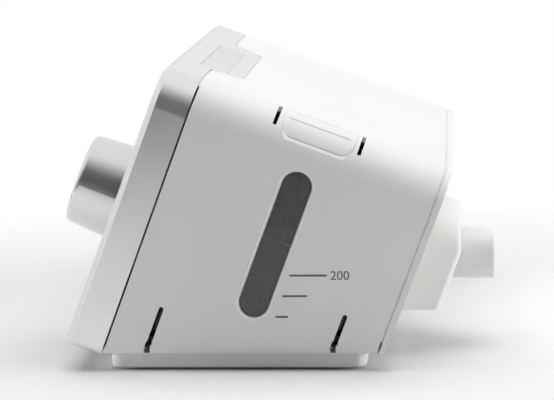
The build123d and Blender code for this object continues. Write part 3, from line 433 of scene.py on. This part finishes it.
def level_mark(name, front, rear, height):
    """A printed line with round ends, seen from the door side."""
    radius, end_steps, outline = mark_width / 2, 8, []
    for centre, first in ((rear - radius, -90), (front + radius, 90)):
        for step in range(end_steps + 1):
            angle = math.radians(first + 180 * step / end_steps)
            outline.append((centre + radius * math.cos(angle),
                            height + radius * math.sin(angle)))
    count = len(outline)
    corners = [(x, y, z) for x in (door_face - ink_height, door_face + ink_height)
               for y, z in outline]
    faces = [list(range(count, 2 * count)), list(range(count))[::-1]]
    for n in range(count):
        after = (n + 1) % count
        faces.append((n, after, after + count, n + count))
    mesh = bpy.data.meshes.new(name)
    mesh.from_pydata(corners, [], faces)
    mesh.materials.append(ink)
    mark = put_in_scene(name, mesh)
    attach(mark, "side_door")


mark_plan = {
    "level_mark_full": (0.0068, 0.0222, 0.0403),
    "level_mark_middle": (0.0038, 0.0140, 0.0318),
    "level_mark_low": (0.0008, 0.0061, 0.0232),
}
for name, (front, rear, height) in mark_plan.items():
    level_mark(name, front, rear, height)
print("level marks:", len(mark_plan))

# %% Number
number_front, number_foot, number_size = 0.0234, 0.0385, 0.0053
number_curve = bpy.data.curves.new("level_number", "FONT")
number_curve.body = "200"
number_curve.size = number_size
number_curve.extrude = ink_height
number_draft = put_in_scene("level_number_draft", number_curve)
bpy.context.view_layer.update()
number_drawn = number_draft.evaluated_get(bpy.context.evaluated_depsgraph_get())
number_mesh = bpy.data.meshes.new_from_object(number_drawn)
bpy.data.objects.remove(number_draft)
stand_up = Matrix((
    (0, 0, 1, door_face),
    (1, 0, 0, number_front),
    (0, 1, 0, number_foot),
    (0, 0, 0, 1),
))
number_mesh.transform(stand_up)
number_mesh.materials.clear()
number_mesh.materials.append(ink)
level_number = put_in_scene("level_number", number_mesh)
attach(level_number, "side_door")
print("number is", round(level_number.dimensions.y * 1000, 1), "mm wide")

# %% [markdown]
# ## Smooth shade on the silver frame
# The solids come in as triangles with a direction of shade at each corner. Where a
# flat side runs into a rounding, the two are shaded about three degrees apart, which
# hardly shows on white plastic, but draws a hard line across silver. A rougher paint
# would hide the line and the mirror images with it. So the frame that is seen is a
# copy of the solid with the same points: the double ones are merged, edges under 20
# degrees are smooth, and the largest faces lead the shade.

# %% Silver frame
merge_within, smooth_below = 0.00001, math.radians(20)
frame_mesh = frame["nodes"]["front_bezel"].data.copy()
work = bmesh.new()
work.from_mesh(frame_mesh)
bmesh.ops.remove_doubles(work, verts=work.verts, dist=merge_within)
for face in work.faces:
    face.smooth = True
for edge in work.edges:
    edge.smooth = len(edge.link_faces) == 2 and edge.calc_face_angle() < smooth_below
work.to_mesh(frame_mesh)
work.free()
if "custom_normal" in frame_mesh.attributes:
    frame_mesh.attributes.remove(frame_mesh.attributes["custom_normal"])
frame_piece = put_in_scene("silver_front_frame", frame_mesh)
leading = frame_piece.modifiers.new("largest_faces_lead", "WEIGHTED_NORMAL")
leading.mode = "FACE_AREA_WITH_ANGLE"
leading.keep_sharp = True
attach(frame_piece, "body")
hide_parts("front_bezel")
print("silver frame:", len(frame_mesh.vertices), "points,",
      len(frame_mesh.polygons), "faces")

# %% [markdown]
# ## Measuring on the leaning case
# The case leans back on its plinth, and what is square on it isn't square with the
# table. Places on it could be worked out by hand for each piece, but they are easier
# to read as a length along the case, from its front foot to the rear, and a height
# square to that. Two helpers turn such a pair into y and z, and back.

# %% Places on the case
lean = math.radians(20.8)
front_foot = -0.09172
half_width, top_height, top_radius = 0.1230, 0.1344, 0.0165


def on_case(along, height):
    """The y and z of a point that is given along the case and square to it."""
    return (front_foot + along * math.cos(lean) + height * math.sin(lean),
            height * math.cos(lean) - along * math.sin(lean))


def from_case(y, z):
    """How far along the case a point lies, and how high square to that."""
    y -= front_foot
    return (y * math.cos(lean) - z * math.sin(lean),
            y * math.sin(lean) + z * math.cos(lean))


front_edge = on_case(0.0, top_height)
print("the case's upper front edge is at y, z:", [round(v, 4) for v in front_edge])

# %% [markdown]
# ## Painted shade on the ledge behind the latch
# Beside the latch two slots let the eye through the door, onto the ledge of the
# housing that the door closes on. They look black in the real machine, because the
# ledge lies in shade. A dark strip could be laid on the ledge, but it would need room
# that the latch moves in. So that piece of the ledge gets painted shade in the
# housing's finish, which is the white plastic painted near black where a point lies
# deeper than the door's wall and next to the latch. How far along the case a point
# lies, and how deep below the rounding of the top, say where that is, so the painted
# shade stays put on the machine.

# %% Painted shade on the ledge
ledge_start, ledge_end, ledge_depth = 0.0492, 0.0888, 0.0023
# painted shade: near black where the ledge lies deep in the shade behind the latch
ledge_painted_shade = (0.012, 0.012, 0.012, 1)
housing_plastic_with_painted_shade = moulded_plastic("white_housing_plastic", case_white, case_roughness)
housing_tree = housing_plastic_with_painted_shade.node_tree
housing_place = add_node(housing_tree, "ShaderNodeTexCoord", {})


def measure(direction, shift):
    """How far a point lies along a direction, from a shifted start."""
    product = add_node(housing_tree, "ShaderNodeVectorMath", {
        0: housing_place.outputs["Object"],
        1: direction,
    }, operation="DOT_PRODUCT")
    return calculate(housing_tree, "ADD", product.outputs["Value"], shift)


length_along = measure((0, math.cos(lean), -math.sin(lean)), -front_foot * math.cos(lean))
past_centre = measure((1, 0, 0), top_radius - half_width)
above_centre = measure((0, math.sin(lean), math.cos(lean)),
                       -front_foot * math.sin(lean) + top_radius - top_height)
squares = [calculate(housing_tree, "POWER", side, 2.0)
           for side in (past_centre, above_centre)]
from_centre = calculate(housing_tree, "SQRT", calculate(housing_tree, "ADD", *squares))
deep = calculate(housing_tree, "LESS_THAN", from_centre, top_radius - ledge_depth)
after_start = calculate(housing_tree, "GREATER_THAN", length_along, ledge_start)
before_end = calculate(housing_tree, "LESS_THAN", length_along, ledge_end)
beside_latch = calculate(housing_tree, "MULTIPLY", after_start, before_end)
housing_colour = housing_tree.nodes["Principled BSDF"].inputs["Base Color"]
ledge_shade_tone = add_node(housing_tree, "ShaderNodeMix", {
    "Factor": calculate(housing_tree, "MULTIPLY", deep, beside_latch),
    "A": housing_colour.links[0].from_socket,
    "B": ledge_painted_shade,
}, data_type="RGBA")
housing_tree.links.new(ledge_shade_tone.outputs["Result"], housing_colour)
give_finish("top_housing", housing_plastic_with_painted_shade)
print("dark ledge from", ledge_start, "to", ledge_end, "m along the case")

# %% [markdown]
# ## The latch sits tight in the door
# The latch and its opening are drawn with the play that lets the latch rock. On the
# real door that play hardly shows, because both edges are slightly rounded and meet
# at the surface. A larger solid would bind in the door. So the latch that is seen is a
# copy whose lower and side edges reach a little farther out. Each point near a corner
# moves away from the centre of that corner's arc, which keeps the corners round.

# %% Latch
latch_front, latch_rear, latch_low = 0.0540, 0.0845, 0.1260
latch_corner, latch_reach, latch_slack = 0.005, 0.00022, 0.0001
latch_mesh = frame["nodes"]["door_latch"].data.copy()
moved = 0
for point in latch_mesh.vertices:
    along, height = from_case(point.co.y, point.co.z)
    if height < latch_low - latch_slack:
        continue
    past_front = min(0.0, along - latch_front - latch_corner)
    past_rear = max(0.0, along - latch_rear + latch_corner)
    past_low = min(0.0, height - latch_low - latch_corner)
    along += (past_front + past_rear) / latch_corner * latch_reach
    height += past_low / latch_corner * latch_reach
    point.co.y, point.co.z = on_case(along, height)
    moved += 1
latch_piece = put_in_scene("tight_door_latch", latch_mesh)
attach(latch_piece, "door_latch")
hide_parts("door_latch")
print("latch points moved:", moved, "of", len(latch_mesh.vertices))

# %% [markdown]
# ## Lips in the seams
# Two shells of a real case meet with a tongue that sits half a millimetre down in
# the gap, so a seam looks grey and not black. A grey line on the shells would do for
# one view, and would lie wrong in others, so each lip is a thin bar that follows the
# outline of the case and fills the gap. At the rear it runs all round the case, down
# to where the open door swings past. At the front the seam shows grey only over the
# top and its roundings, so two lips lie there, left and right of the start button.
# Three short straight lips lie before and behind the button and behind the frame's
# tongue, which makes six.

# %% Helpers for seam lips
lip_depth, lip_thickness = 0.0005, 0.0010
arc_steps = 12


def case_outline(depth, lowest):
    """The case's outline at some depth, from low on the door side up to the top."""
    reach = top_radius - depth
    line = [(half_width - depth, lowest)]
    for step in range(arc_steps + 1):
        angle = math.radians(90 * step / arc_steps)
        line.append((half_width - top_radius + reach * math.cos(angle),
                     top_height - top_radius + reach * math.sin(angle)))
    return line


def mirrored(line):
    """The same outline on the far side, in the order that carries on from the top."""
    return [(-x, height) for x, height in reversed(line)]


def seam_lip(name, outer, inner, start, end):
    """A closed bar between two outlines, from start to end along the case."""
    corners = []
    for (x_out, high_out), (x_in, high_in) in zip(outer, inner):
        for x, height, along in ((x_out, high_out, start), (x_out, high_out, end),
                                 (x_in, high_in, end), (x_in, high_in, start)):
            corners.append((x, *on_case(along, height)))
    faces = [(3, 2, 1, 0), tuple(range(len(corners) - 4, len(corners)))]
    for row in range(len(outer) - 1):
        for side in range(4):
            first, second = row * 4 + side, row * 4 + (side + 1) % 4
            faces.append((first, second, second + 4, first + 4))
    mesh = bpy.data.meshes.new(name)
    mesh.from_pydata(corners, [], faces)
    mesh.validate()
    mesh.materials.append(white_plastic)
    lip = put_in_scene(name, mesh)
    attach(lip, "body")


# %% Lips round the case
rear_start, rear_end = 0.12212, 0.12268
swing_past, swing_along = 0.0125, 0.1227
rear_lowest = (swing_past + swing_along * math.sin(lean)) / math.cos(lean)
outer = case_outline(lip_depth, rear_lowest)
inner = case_outline(lip_depth + lip_thickness, rear_lowest)
seam_lip("rear_seam_lip", outer + mirrored(outer), inner + mirrored(inner),
         rear_start, rear_end)


front_start, front_gap, grey_from = 0.01622, 0.00076, 60
front_end = front_start + front_gap
left_out = 1 + arc_steps * grey_from // 90


def front_lines(lip_end):
    """The outer and inner line of a front lip, from 60 degrees up the rounding."""
    return [case_outline(depth, 0.0)[left_out:] + [(lip_end, top_height - depth)]
            for depth in (lip_depth, lip_depth + lip_thickness)]


seam_lip("front_seam_lip_door_side", *front_lines(0.0716), front_start, front_end)
far_lines = [mirrored(line) for line in front_lines(0.0504)]
seam_lip("front_seam_lip_far_side", *far_lines, front_start, front_end)
print("the front lips start", grey_from, "degrees up the rounding")

# %% Lips at the button and the tongue
lip_top, lip_foot = top_height - 0.0003, top_height - 0.0010
straight_lips = {
    "button_lip_front": (-0.0250, 0.0650, 0.01107, 0.01128),
    "button_lip_rear": (-0.0250, 0.0650, 0.02312, 0.02333),
    "tongue_lip": (-0.0358, 0.0578, 0.03042, 0.03068),
}
for name, (far_end, door_end, start, end) in straight_lips.items():
    upper = [(door_end, lip_top), (far_end, lip_top)]
    lower = [(door_end, lip_foot), (far_end, lip_foot)]
    seam_lip(name, upper, lower, start, end)

# %% [markdown]
# ## The floor
# The machine stands on a pale floor. A curved backdrop would be the usual way, but a
# plain plate does here, because farther out it turns white by itself. To the eye it
# is white paint that catches the shadow. For the light and for the mirror images in
# the silver it is a pale table that ends about a metre in front of the door side,
# where a darker room begins. That edge is what draws the dark band across the silver
# dial and the bevel of the front frame.

# %% Floor and its table edge
floor_reach = 6.0
floor_corners = [(x * floor_reach, y * floor_reach, 0)
                 for x, y in ((-1, -1), (1, -1), (1, 1), (-1, 1))]
floor_mesh = bpy.data.meshes.new("studio_floor")
floor_mesh.from_pydata(floor_corners, [], [(0, 1, 2, 3)])
floor = put_in_scene("studio_floor", floor_mesh)
floor_grey = (0.90, 0.90, 0.90)
floor_paint, floor_shader = new_finish("floor_paint", floor_grey, 0.9, specular=0.1)
floor_mesh.materials.append(floor_paint)
floor_tree = floor_paint.node_tree
floor_place = add_node(floor_tree, "ShaderNodeTexCoord", {})
floor_parts = add_node(floor_tree, "ShaderNodeSeparateXYZ", {
    "Vector": floor_place.outputs["Object"],
})
table_length = 1.25
share_of_table = add_node(floor_tree, "ShaderNodeMapRange", {
    "Value": floor_parts.outputs["X"],
    "From Min": 0.0,
    "From Max": table_length,
})
table_tone = add_node(floor_tree, "ShaderNodeValToRGB", {
    "Fac": share_of_table.outputs["Result"],
})
stops = table_tone.color_ramp.elements
stops[1].position = 0.82
for position in (0.30, 0.55, 0.70, 0.76):
    stops.new(position)
for stop, grey in zip(stops, (0.92, 0.95, 0.85, 0.66, 0.42, 0.06)):
    stop.color = (grey, grey, grey, 1)
greys = [(round(stop.position, 2), round(stop.color[0], 2)) for stop in stops]
print("greys of the table, by share of its length:", greys)

# %% [markdown]
# ## A darker patch beside the door
# Close to the door the real table lies in the machine's own shade, so the foot of the
# door gets little light from below. A lamp can only add light, so the floor's colour
# takes some away: a soft patch of seven by twelve centimetres, darkest in its middle.
# Like the table's edge it is there for the light alone, and the camera sees the plain
# paint.

# %% Darker patch
patch_x, patch_half_depth, patch_half_width = 0.14, 0.035, 0.06
patch_grey, patch_share = (0.25, 0.25, 0.25, 1), 0.35
patch_place = add_node(floor_tree, "ShaderNodeMapping", {
    "Vector": floor_place.outputs["Object"],
    "Location": (-patch_x / patch_half_depth, 0, 0),
    "Scale": (1 / patch_half_depth, 1 / patch_half_width, 1),
})
patch = add_node(floor_tree, "ShaderNodeTexGradient", {
    "Vector": patch_place.outputs["Vector"],
}, gradient_type="SPHERICAL")
patch_level = add_node(floor_tree, "ShaderNodeMapRange", {
    "Value": patch.outputs["Fac"],
    "From Max": 0.5,
    "To Max": patch_share,
})
patched_tone = add_node(floor_tree, "ShaderNodeMix", {
    "Factor": patch_level.outputs["Result"],
    "A": table_tone.outputs["Color"],
    "B": patch_grey,
}, data_type="RGBA")
floor_path = add_node(floor_tree, "ShaderNodeLightPath", {})
floor_tone = add_node(floor_tree, "ShaderNodeMix", {
    "Factor": floor_path.outputs["Is Camera Ray"],
    "A": patched_tone.outputs["Result"],
    "B": (*floor_grey, 1),
}, data_type="RGBA")
floor_tree.links.new(floor_tone.outputs["Result"], floor_shader.inputs["Base Color"])
print("the patch lies", patch_x, "m to the door side,", 2 * patch_half_width, "m wide")

# %% [markdown]
# ## White farther out
# Behind the machine the picture is even white. More lamps could burn the floor out,
# but they would burn the white case out too. So from about 16 to 34 centimetres out
# the floor changes over to a plain white glow of strength 1, which only the camera
# sees, and which adds no light to the machine.

# %% White beyond the shadow
glow_scale, all_glow, all_paint = 2.2, 0.25, 0.65
around = add_node(floor_tree, "ShaderNodeMapping", {
    "Vector": floor_place.outputs["Object"],
    "Scale": (glow_scale, glow_scale, glow_scale),
})
near_machine = add_node(floor_tree, "ShaderNodeTexGradient", {
    "Vector": around.outputs["Vector"],
}, gradient_type="SPHERICAL")
far_out = add_node(floor_tree, "ShaderNodeMapRange", {
    "Value": near_machine.outputs["Fac"],
    "From Min": all_glow,
    "From Max": all_paint,
    "To Min": 1.0,
    "To Max": 0.0,
})
even_white = add_node(floor_tree, "ShaderNodeEmission", {
    "Color": (1, 1, 1, 1),
    "Strength": 1.0,
})
floor_look = add_node(floor_tree, "ShaderNodeMixShader", {
    "Fac": calculate(floor_tree, "MULTIPLY", far_out.outputs["Result"],
                     floor_path.outputs["Is Camera Ray"]),
    1: floor_shader.outputs["BSDF"],
    2: even_white.outputs["Emission"],
})
floor_out = floor_tree.nodes["Material Output"].inputs["Surface"]
floor_tree.links.new(floor_look.outputs["Shader"], floor_out)
glow_from, glow_full = (1 - all_paint) / glow_scale, (1 - all_glow) / glow_scale
print("the white grows from", round(glow_from, 2), "to", round(glow_full, 2), "m out")

# %% [markdown]
# ## Lamps
# A large soft lamp hangs overhead, because the top is much brighter than the side
# that faces the camera. Two low lamps, far to the left and right, brighten the front
# frame's ends and the port's housing. Small bright lamps would light it as well, but
# they would cast hard shadows. The lamps show neither in the silver nor through the
# clear plates, where a square of light would give the studio away.

# %% Lamps
def soft_lamp(name, place, size, watts):
    """A rectangular lamp that points at the middle of the machine."""
    data = bpy.data.lights.new(name, "AREA")
    data.shape = "RECTANGLE"
    data.size, data.size_y = size
    data.energy = watts
    lamp = put_in_scene(name, data)
    lamp.location = place
    lamp.rotation_mode = "QUATERNION"
    aim = Vector((0, 0, 0.05)) - Vector(place)
    lamp.rotation_quaternion = aim.to_track_quat("-Z", "Y")
    lamp.visible_glossy = False
    lamp.visible_transmission = False


lamp_plan = {
    "overhead_lamp": ((0.0, 0.05, 1.3), (1.4, 1.4), 18.0),
    "left_lamp": ((0.15, -1.2, 0.2), (0.6, 0.3), 6.8),
    "right_lamp": ((0.15, 1.2, 0.2), (0.6, 0.3), 8.0),
}
for name, (place, size, watts) in lamp_plan.items():
    soft_lamp(name, place, size, watts)
print("lamps:", list(lamp_plan))

# %% [markdown]
# ## Surroundings
# Silver, black gloss and clear plates look like whatever stands round them. Real
# walls and screens could be built for them to mirror. A world that is bright above
# and to the sides, and dark on the door side, gives the same images with a few
# nodes. Each direction of the room has its fixed brightness, whoever looks. A direct
# view of the room is white, what shows in gloss and through clear plastic is a little
# dimmer, and the dull surfaces get almost nothing from it, because the lamps light
# those.

# %% How bright each direction is
world = bpy.data.worlds.new("studio")
scene.world = world
world.use_nodes = True
room_tree = world.node_tree
ray = add_node(room_tree, "ShaderNodeTexCoord", {})
ray_parts = add_node(room_tree, "ShaderNodeSeparateXYZ", {
    "Vector": ray.outputs["Generated"],
})
door_side_share, sides_share = -0.95, 0.5
darkest_at, brightest_at = -0.38, 1.0
room_low, room_high = 0.05, 1.08
above_and_door_side = calculate(room_tree, "MULTIPLY_ADD", ray_parts.outputs["X"],
                                door_side_share, ray_parts.outputs["Z"])
to_the_sides = calculate(room_tree, "ABSOLUTE", ray_parts.outputs["Y"])
room = add_node(room_tree, "ShaderNodeMapRange", {
    "Value": calculate(room_tree, "MULTIPLY_ADD", to_the_sides,
                       sides_share, above_and_door_side),
    "From Min": darkest_at,
    "From Max": brightest_at,
    "To Min": room_low,
    "To Max": room_high,
}, interpolation_type="SMOOTHSTEP")
print("the room's brightness runs from", room_low, "to", room_high)

# %% Who sees how much of it
dull_share, gloss_share = 0.05, 0.82
room_path = add_node(room_tree, "ShaderNodeLightPath", {})
gloss_or_clear = calculate(room_tree, "MAXIMUM", room_path.outputs["Is Glossy Ray"],
                           room_path.outputs["Is Transmission Ray"])
share = add_node(room_tree, "ShaderNodeMapRange", {
    "Value": gloss_or_clear,
    "To Min": dull_share,
    "To Max": gloss_share,
})
dimmed = calculate(room_tree, "MULTIPLY", room.outputs["Result"], share.outputs["Result"])
strength = calculate(room_tree, "MAXIMUM", dimmed, room_path.outputs["Is Camera Ray"])
background = room_tree.nodes["Background"]
background.inputs["Color"].default_value = (1, 1, 1, 1)
room_tree.links.new(strength, background.inputs["Strength"])
print("strength: 1 for the camera, up to", round(room_high * gloss_share, 2), "in gloss")
